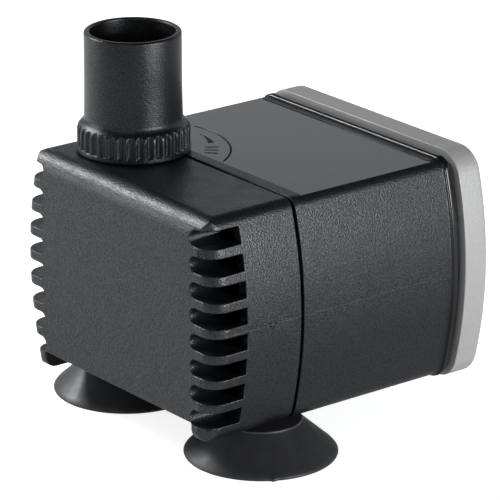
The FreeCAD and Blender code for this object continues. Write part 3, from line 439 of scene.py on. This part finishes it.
def layered(name, light, dark, roughness, pitch_mm, axis):
    """Stacked or wound metal: rounded ribs of the given pitch along an axis with dark lines
    between them. For sheet steel the pitch is the sheet's 0.5 mm; for the coils it is the wire,
    drawn at twice its real 0.2 mm."""
    material, tree, shader, place = new_material(name, Roughness=roughness, Metallic=1.0)
    along = add(tree, "ShaderNodeSeparateXYZ", links={"Vector": place}).outputs[axis]
    turn = add(tree, "ShaderNodeMath", {"operation": "MULTIPLY", 1: math.pi / (pitch_mm * MM)},
               {0: along})
    wave = add(tree, "ShaderNodeMath", {"operation": "SINE"}, {0: turn.outputs["Value"]})
    rib = add(tree, "ShaderNodeMath", {"operation": "ABSOLUTE"}, {0: wave.outputs["Value"]})
    line = add(tree, "ShaderNodeMapRange", {"From Min": 0.1, "From Max": 0.45},
               {"Value": rib.outputs["Value"]})
    tint = add(tree, "ShaderNodeMix", {"data_type": "RGBA", 6: linear(dark), 7: linear(light)},
               {0: line.outputs["Result"]})
    bump = add(tree, "ShaderNodeBump", {"Strength": 1.0, "Distance": 0.2 * pitch_mm * MM},
               {"Height": rib.outputs["Value"]})
    feed(tree, shader, {"Base Color": tint.outputs[2], "Normal": bump.outputs["Normal"]})
    return material


def granular(name, colour, speck, roughness, grain_mm):
    """Pressed or cast stuff with visible grains or tiny bubbles, such as ferrite or resin."""
    material, tree, shader, place = new_material(name, Roughness=roughness)
    cells = add(tree, "ShaderNodeTexVoronoi", {"Scale": 1 / (grain_mm * MM)}, {"Vector": place})
    spot = add(tree, "ShaderNodeMapRange", {"From Min": 0.12, "From Max": 0.3},
               {"Value": cells.outputs["Distance"]})
    tint = add(tree, "ShaderNodeMix", {"data_type": "RGBA", 6: linear(speck), 7: linear(colour)},
               {0: spot.outputs["Result"]})
    bump = add(tree, "ShaderNodeBump", {"Strength": 0.6, "Distance": 0.15 * grain_mm * MM},
               {"Height": spot.outputs["Result"]})
    feed(tree, shader, {"Base Color": tint.outputs[2], "Normal": bump.outputs["Normal"]})
    return material


# ---- pieces -----------------------------------------------------------------------------
def cover_rounding(at, shells):
    """Rounding of the intake cover's edges (mm): wide on the fins, narrow at the seam and round
    the gate mark, and none on edges inside the wall. An edge is on the outside where its
    distance from the centre line of the rounding between face and side, which follows the
    sides' arc, is the rounding's radius, to within SKIN."""
    x, depth, z = np.abs(at[:, 0]), at[:, 1] - COVER_LOW[1], at[:, 2]
    width = np.where((x > FINS_X) & (depth < FINS_DEPTH), shells.fin, PLAIN_EDGE)
    width = np.where(at[:, 1] > COVER_HIGH[1] - 0.5, shells.seam, width)
    gate = (at[:, 0] > GATE_X) & (np.abs(depth - GATE_DEPTH) < 1) & (np.abs(z - AXIS_Z) < 1.2)
    width = np.where(gate, shells.mark, width)
    bow = SIDE_ARC - np.sqrt(SIDE_ARC ** 2 - (z - AXIS_Z) ** 2)
    across, along = x - (COVER_HIGH[0] - bow - COVER_ROUND), COVER_ROUND - depth
    reach = np.where(along > 0, np.where(across > 0, np.hypot(across, along), along), across)
    outside = (reach > COVER_ROUND - SKIN) | (z > TOP_Z - SLOTS_MARGIN) \
        | (z < COVER_LOW[2] + SLOTS_MARGIN)
    return np.where(outside, width, 0.0)


def housing_rounding(at, shells):
    """Rounding of the motor housing's edges (mm): a full bead on the flange, and next to
    nothing on the shallow marks and the panel's edge."""
    y, z = at[:, 1], at[:, 2]
    flange = y > HOUSING_HIGH[1] - FLANGE
    top = (z > TOP_Z - 0.4) & (y > HOUSING_LOW[1] + LIP) & ~flange
    width = np.where(flange, shells.bead, np.where(top, shells.mark, shells.seam))
    return np.where(top & (y > HOUSING_HIGH[1] - PANEL_REAR), PANEL_EDGE, width)


def housing_finishes(mesh, grained=0, polished=1, matt_painted_shade=2):
    """Material number of each face of the housing: the panel's floor and the flange are polished,
    the floors of the marks in the panel are rough and coloured darker as painted shade in the
    recesses, and the rest is grained."""
    normals, centres = np.empty(len(mesh.polygons) * 3), np.empty(len(mesh.polygons) * 3)
    mesh.polygons.foreach_get("normal", normals)
    mesh.polygons.foreach_get("center", centres)
    centres = centres.reshape(-1, 3) / MM
    depth = TOP_Z - centres[:, 2]
    panel, marks, deepest = MARK_DEPTHS
    level = (normals.reshape(-1, 3)[:, 2] > 0.99) & (depth > panel) & (depth < deepest)
    kind = np.where(level, np.where(depth < marks, polished, matt_painted_shade), grained)
    return np.where(centres[:, 1] > HOUSING_HIGH[1] - FLANGE, polished, kind)


class PUMP_OT_shells(bpy.types.Operator):
    """Intake cover, motor housing, gasket, rear cap and cable gland with rounded edges"""
    bl_idname = "pump.shells"
    bl_label = "Shells"

    def execute(self, context):
        shells, finish = in_mm(context.scene.pump_shells), context.scene.pump_finish
        grain = finish.grain / MM
        black = grained_abs("grained black ABS", finish.black, grain, finish.black_gloss,
                            finish.relief, AXIS_Z)
        panel = plain_plastic("polished black ABS", finish.black, finish.panel_gloss, 0.001, 0.04)
        # The marks' floors are coloured darker than the shells: painted shade in the engraved
        # recesses, on top of their real rough finish.
        matt_painted_shade = plain_plastic("engraved marks", "#050505", 0.7, 0.01)
        silver = grained_abs("silver ABS", finish.silver, grain, 0.4, finish.relief * 0.8,
                             Metallic=0.1)
        rubber = plain_plastic("seal rubber", finish.rubber, 0.5, 0.01)

        cover = moulded_copy("front_cover", "intake_cover_shell", 0.3,
                             lambda at: cover_rounding(at, shells),
                             merge_mm=0.04, cuts=COVER_CUTS)
        finish_piece(cover, black, "intake_cover", ["front_cover"])
        housing = moulded_copy("motor_housing", "motor_housing_shell", shells.bead,
                               lambda at: housing_rounding(at, shells))
        finish_piece(housing, black, "pump_body", ["motor_housing"])
        housing.data.materials.append(panel)
        housing.data.materials.append(matt_painted_shade)
        housing.data.polygons.foreach_set("material_index", housing_finishes(housing.data))
        for node, name, width, material, slot in (
                ("rear_cap", "rear_cap_shell", shells.cap, silver, "silver_abs"),
                ("cap_gasket", "gasket_band", 0.2, rubber, "black_rubber"),
                ("cable_gland", "gland_rubber", 0.3, rubber, "black_rubber")):
            piece = moulded_copy(node, name, width, lambda at, w=width: np.full(len(at), w))
            finish_piece(piece, material, "pump_body", [node])
        return {"FINISHED"}


def nozzle_profile(size):
    """Closed outline (r, z) of the outlet: rim, grip, shoulder, tube, tip, bore and web."""
    low, tip = NOZZLE_LOW[2], NOZZLE_HIGH[2]
    collar = (NOZZLE_HIGH[0] - NOZZLE_LOW[0]) / 2
    grip, grip_top = collar - size.rim_proud, low + size.collar_height
    foot = grip_top + size.shoulder_height
    return rounded([
        (NECK_FIT, low, 0),
        (collar, low, 0.2),
        (collar, low + size.rim_height, 0.12),
        (grip, low + size.rim_height, 0.05),
        (grip, grip_top, 0.8),
        (size.base_radius + 0.3, foot - 0.3, 0.4),
        (size.base_radius, foot + 0.3, 0.3),
        (size.tip_radius, tip - 0.4 - size.parallel, 0.5),
        (size.tip_radius, tip, 0.6),
        (size.bore_radius, tip, 0.35),
        (size.bore_radius, WEB_TOP + 2, 0.5),
        (size.port_radius, WEB_TOP, 0.1),
        (size.port_radius, WEB_TOP - WEB_THICKNESS, 0.1),
        (NECK_FIT, WEB_TOP - WEB_THICKNESS, 0.2)])


def web_plate(radius, port, hub, segments=96):
    """A round plate with two quarter ports: rings at the hub, the ports' edge and the rim. The
    cells between hub and port edge are left out where the angle is within 45 degrees of X."""
    t = np.arange(segments) * 2 * math.pi / segments
    rings = [np.stack([r * np.cos(t), r * np.sin(t), np.full(segments, WEB_TOP)], -1)
             for r in (hub, port, radius)]
    points = np.vstack([[(0, 0, WEB_TOP)], *rings])
    step = np.arange(segments)
    after = (step + 1) % segments
    fan = np.stack([np.zeros(segments, int), step + 1, after + 1], -1).tolist()
    bars = np.abs(np.cos(t + math.pi / segments)) < math.cos(math.pi / 4)
    near, far = step[bars] + 1, after[bars] + 1
    inner = np.stack([near, near + segments, far + segments, far], -1).tolist()
    outer = (np.array(grid_faces(2, segments)) + 1 + segments)[:, ::-1].tolist()
    return points, fan + inner + outer


class PUMP_OT_nozzle(bpy.types.Operator):
    """Hose outlet: fluted grip, shoulder and thin-walled tube, and the web in its foot"""
    bl_idname = "pump.nozzle"
    bl_label = "Hose outlet"

    def execute(self, context):
        size, finish = in_mm(context.scene.pump_nozzle), context.scene.pump_finish
        flutes = context.scene.pump_nozzle.flutes
        flute_angle = 2 * math.pi / flutes
        start = NOZZLE_LOW[2] + size.rim_height
        end = NOZZLE_LOW[2] + size.collar_height + size.shoulder_height
        reach = (NOZZLE_HIGH[0] - NOZZLE_LOW[0]) / 2 - size.rim_proud + size.flute_radius / 4

        profile = nozzle_profile(size)
        middle_z = (profile[:-1, 1] + profile[1:, 1]) / 2
        grip = (profile[:-1, 0] > NECK_FIT + 0.3) & (middle_z > NOZZLE_LOW[2]) \
            & (middle_z < end + 0.3)
        profile = subdivided(profile, np.where(grip, 0.13, np.inf))

        def fluted(r, z, t):
            """The smaller of the plain radius and the wall of the nearest upright groove, a
            circle of the flute's radius round the distance reach from the axis."""
            off = (t + flute_angle / 2) % flute_angle - flute_angle / 2
            inside = np.maximum(size.flute_radius ** 2 - (reach * np.sin(off)) ** 2, 0)
            wall = np.where(inside > 0, reach * np.cos(off) - np.sqrt(inside), np.inf)
            ramp = np.clip((z - start) / 0.12, 0, 1)
            cut = np.minimum(r, wall + (1 - ramp) * size.flute_radius * 2)
            return np.where((r > size.base_radius - 0.05) & (z < end), cut, r)

        centre = ((NOZZLE_LOW[0] + NOZZLE_HIGH[0]) / 2, (NOZZLE_LOW[1] + NOZZLE_HIGH[1]) / 2, 0)
        points, faces = turned(profile, centre, flutes * 14, shape=fluted)
        nozzle = new_object("hose_outlet", points, faces)
        outward(nozzle)
        black = grained_abs("satin black ABS", finish.plain_black, finish.grain / MM * 0.8,
                            finish.nozzle_gloss, finish.relief * 0.8, IOR=1.47)
        finish_piece(nozzle, black, "outlet", ["outlet_nozzle"])
        points, faces = web_plate(size.port_radius + 0.2, size.port_radius, size.hub_radius)
        web = new_object("outlet_web", points + np.array(centre), faces, smooth=False)
        thick = web.modifiers.new("web thickness", "SOLIDIFY")
        thick.thickness, thick.offset = WEB_THICKNESS * MM, -1.0
        soft = web.modifiers.new("web edges", "BEVEL")
        soft.width, soft.segments, soft.limit_method = 0.12 * MM, 2, "ANGLE"
        finish_piece(web, black, "outlet", [])
        return {"FINISHED"}


def cup_profile(size, rim, height):
    """Outline (r, z) of a cup from its hollow's middle, over the rim, the cone, the disc, the
    stem and the head, to the top."""
    disc_top, head_low = COVER_LOW[2] - 0.3, height - 1.5
    return rounded([
        (0, size.hollow, 0),
        (rim * 0.4, size.hollow - 0.3, 2),
        (rim - size.lip - 0.6, 0.6, 0.5),
        (rim - size.lip, 0, 0.2),
        (rim - 0.2, 0, 0.15),
        (rim, 0.4, 0.3),
        (rim - 0.5, 1.0, 0.6),
        (size.disc_radius + 0.05, disc_top - 0.3, 0.1),
        (size.disc_radius, disc_top, 0.08),
        (size.stem_radius, disc_top, 0.2),
        (size.stem_radius, head_low, 0.1),
        (size.head_radius, head_low, 0.3),
        (size.stem_radius, height, 0.4),
        (0, height, 0)])


class PUMP_OT_cups(bpy.types.Operator):
    """The two rubber suction cups"""
    bl_idname = "pump.cups"
    bl_label = "Suction cups"

    def execute(self, context):
        size, finish = in_mm(context.scene.pump_cups), context.scene.pump_finish
        rubber = plain_plastic("moulded rubber", finish.rubber, finish.rubber_gloss, 0.008)
        nib_angle, nib_height, cone_inside = math.radians(-29), 1.2, 12

        def nibbed(r, z, t):
            """The mould's gate nib: a bell-shaped bump on the rim, fading out upwards."""
            off = ((t - nib_angle + math.pi) % (2 * math.pi) - math.pi) * r / size.nib
            low_part = np.clip(1 - z / nib_height, 0, 1) * (r > cone_inside)
            return r + size.nib * low_part * np.exp(-off ** 2)

        for side, shape in (("left", None), ("right", nibbed)):
            node = f"suction_cup_{side}"
            low, high = corners_mm(node)
            profile = subdivided(cup_profile(size, (high[1] - low[1]) / 2, high[2]), 0.5)
            centre = ((low[0] + high[0]) / 2, (low[1] + high[1]) / 2, 0)
            cup = new_object(f"rubber_cup_{side}", *turned(profile, centre, 256, shape=shape))
            outward(cup)
            finish_piece(cup, rubber, "intake_cover", [node])
        return {"FINISHED"}


class PUMP_OT_inner_finishes(bpy.types.Operator):
    """Materials for the CAD nodes that stay as they are"""
    bl_idname = "pump.inner_finishes"
    bl_label = "Inner finishes"

    def execute(self, context):
        finish = context.scene.pump_finish
        table = [
            (plain_plastic("chamber ABS", finish.plain_black, 0.4), ["volute_housing"]),
            (plain_plastic("soft seal rubber", finish.rubber, 0.55, 0.01),
             ["volute_seal", "nozzle_seal", "shaft_bush_front", "shaft_bush_rear"]),
            (plain_plastic("alumina", "#E4E2DA", 0.18, 0.001, IOR=1.76),
             ["shaft", "thrust_washer_front", "thrust_washer_rear"]),
            (plain_plastic("natural acetal", "#D9D9D2", 0.4, 0.004, Subsurface_Weight=0.15,
                           Subsurface_Scale=0.001),
             ["rotor_carrier", "impeller", "coil_bobbin_left", "coil_bobbin_right"]),
            (plain_plastic("cutout case", "#8A6A3A", 0.45, 0.004), ["thermal_cutout"]),
            (granular("sintered ferrite", "#2B2B2D", "#45464A", 0.6, 0.25), ["rotor_magnet"]),
            (layered("lamination steel", "#8C8E92", "#2E2F31", 0.38, 0.5, "Y"),
             ["stator_core"]),
            (layered("enamelled copper", "#B8672E", "#3A1A0A", 0.28, 0.4, "X"),
             ["coil_left", "coil_right"]),
            (granular("cast resin", "#1A1A1A", "#303030", 0.3, 1.4), ["potting_resin"]),
        ]
        for material, nodes in table:
            for node in nodes:
                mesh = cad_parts[node].data
                mesh.materials.clear()
                mesh.materials.append(material)
        return {"FINISHED"}


# ---- studio -----------------------------------------------------------------------------
COOL_WHITE = (0.94, 0.97, 1.0)      # the lamps' colour
SOFTBOXES = (                       # name, bearing and height (degrees), size (mm), watts
    ("key softbox", 205, 35, (200, 200), 3.3),
    ("side softbox", 12, 8, (340, 200), 3.8),
    ("front fill", 226, 11, (300, 200), 1.0),
    ("low fill", 300, 35, (260, 260), 0.26))
GLOW_RISE, GLOW_FALL = (0.04, 0.2), (0.28, 0.45)    # sines of the glow's heights in the sky
PAPER_WHITE = 0.8                   # glow that makes the floor white to the camera


def softbox(name, bearing, height_angle, size_mm, watts):
    """A rectangular softbox aimed at the object; bearing in degrees from +X towards +Y."""
    aim, reach = Vector((0, 0, 25)) * MM, 720 * MM
    data = bpy.data.lights.new(name, "AREA")
    data.shape = "RECTANGLE"
    data.size, data.size_y = size_mm[0] * MM, size_mm[1] * MM
    data.energy, data.color = watts, COOL_WHITE
    turn, rise = math.radians(bearing), math.radians(height_angle)
    away = Vector((math.cos(turn) * math.cos(rise), math.sin(turn) * math.cos(rise),
                   math.sin(rise)))
    light = bpy.data.objects.new(name, data)
    light.location = aim + away * reach
    light.rotation_euler = (-away).to_track_quat("-Z", "Y").to_euler()
    bpy.context.scene.collection.objects.link(light)


def paper_floor(floor_light):
    """A wide pale floor that gives off a little light, and is white to the camera."""
    half = 3000.0
    floor = new_object("floor", [(-half, -half, 0), (half, -half, 0), (half, half, 0),
                                 (-half, half, 0)], [(0, 1, 2, 3)], smooth=False)
    paper, tree, shader, _ = new_material("floor paper", Base_Color=linear("#F4F4F4"),
                                          Roughness=0.9)
    shader.inputs["Emission Color"].default_value = linear("#FFFFFF")
    seen = add(tree, "ShaderNodeLightPath").outputs["Is Camera Ray"]
    glow = add(tree, "ShaderNodeMapRange", {"To Min": floor_light, "To Max": PAPER_WHITE},
               {"Value": seen})
    feed(tree, shader, {"Emission Strength": glow.outputs["Result"]})
    floor.data.materials.append(paper)


def studio_sky(ring_light):
    """A dim room with a soft ring of light just above the horizon, and white to the camera."""
    world = bpy.data.worlds.new("studio")
    world.use_nodes = True
    sky = world.node_tree
    around = add(sky, "ShaderNodeTexCoord").outputs["Generated"]
    height = add(sky, "ShaderNodeSeparateXYZ", links={"Vector": around}).outputs["Z"]
    rise = add(sky, "ShaderNodeMapRange",
               {"From Min": GLOW_RISE[0], "From Max": GLOW_RISE[1], "To Min": 0.05,
                "To Max": ring_light, "interpolation_type": "SMOOTHSTEP"}, {"Value": height})
    fall = add(sky, "ShaderNodeMapRange",
               {"From Min": GLOW_FALL[0], "From Max": GLOW_FALL[1], "To Min": 1.0,
                "To Max": 0.04, "interpolation_type": "SMOOTHSTEP"}, {"Value": height})
    ring = add(sky, "ShaderNodeMath", {"operation": "MULTIPLY"},
               {0: rise.outputs["Result"], 1: fall.outputs["Result"]})
    seen = add(sky, "ShaderNodeLightPath").outputs["Is Camera Ray"]
    shown = add(sky, "ShaderNodeMath", {"operation": "MAXIMUM"},
                {0: ring.outputs["Value"], 1: seen})
    tone = add(sky, "ShaderNodeMix", {"data_type": "RGBA", 6: [*COOL_WHITE, 1.0],
                                      7: linear("#FFFFFF")}, {0: seen})
    feed(sky, sky.nodes["Background"], {"Strength": shown.outputs["Value"],
                                        "Color": tone.outputs[2]})
    return world


class PUMP_OT_stage(bpy.types.Operator):
    """Pale floor, soft lights and the camera"""
    bl_idname = "pump.stage"
    bl_label = "Stage"

    def execute(self, context):
        studio, scene = context.scene.pump_studio, context.scene
        scene.view_settings.view_transform = "Standard"
        paper_floor(studio.floor_light)
        scene.world = studio_sky(studio.ring_light)
        for lamp in SOFTBOXES:
            softbox(*lamp)
        azimuth, elevation = studio.azimuth, studio.elevation
        back = Vector((math.sin(azimuth) * math.cos(elevation),
                       -math.cos(azimuth) * math.cos(elevation), math.sin(elevation)))
        data = bpy.data.cameras.new("camera")
        data.lens, data.sensor_width = studio.lens, 36.0
        data.clip_start, data.clip_end = 0.01, 20.0
        camera = bpy.data.objects.new("camera", data)
        camera.location = Vector(studio.target) + back * studio.distance
        camera.rotation_mode = "QUATERNION"
        camera.rotation_quaternion = (-back).to_track_quat("-Z", "Y")
        scene.collection.objects.link(camera)
        scene.camera = camera
        return {"FINISHED"}


class PUMP_PT_panel(bpy.types.Panel):
    """Sidebar panel that lists the pump's settings and steps"""
    bl_idname = "PUMP_PT_panel"
    bl_label = "Pump finish"
    bl_space_type = "VIEW_3D"
    bl_region_type = "UI"
    bl_category = "Pump"

    def draw(self, context):
        for group in GROUPS:
            box = self.layout.box()
            settings = getattr(context.scene, group)
            for key in settings.bl_rna.properties.keys():
                if key not in ("rna_type", "name"):
                    box.prop(settings, key)
        for operator in OPERATORS:
            self.layout.operator(operator.bl_idname)


GROUPS = {"pump_nozzle": NozzleSettings, "pump_cups": CupSettings, "pump_shells": ShellSettings,
          "pump_finish": FinishSettings, "pump_studio": StudioSettings}
OPERATORS = [PUMP_OT_stage, PUMP_OT_shells, PUMP_OT_nozzle, PUMP_OT_cups, PUMP_OT_inner_finishes]
CLASSES = [*GROUPS.values(), *OPERATORS, PUMP_PT_panel]


def register():
    """Makes the classes and the settings known to Blender."""
    for cls in CLASSES:
        bpy.utils.register_class(cls)
    for name, group in GROUPS.items():
        setattr(bpy.types.Scene, name, PointerProperty(type=group))


def unregister():
    """Takes the settings and the classes away again."""
    for name in GROUPS:
        delattr(bpy.types.Scene, name)
    for cls in reversed(CLASSES):
        bpy.utils.unregister_class(cls)


def main():
    """Runs every step in order."""
    register()
    bpy.ops.pump.stage()
    bpy.ops.pump.shells()
    bpy.ops.pump.nozzle()
    bpy.ops.pump.cups()
    bpy.ops.pump.inner_finishes()


if __name__ == "__main__":
    main()
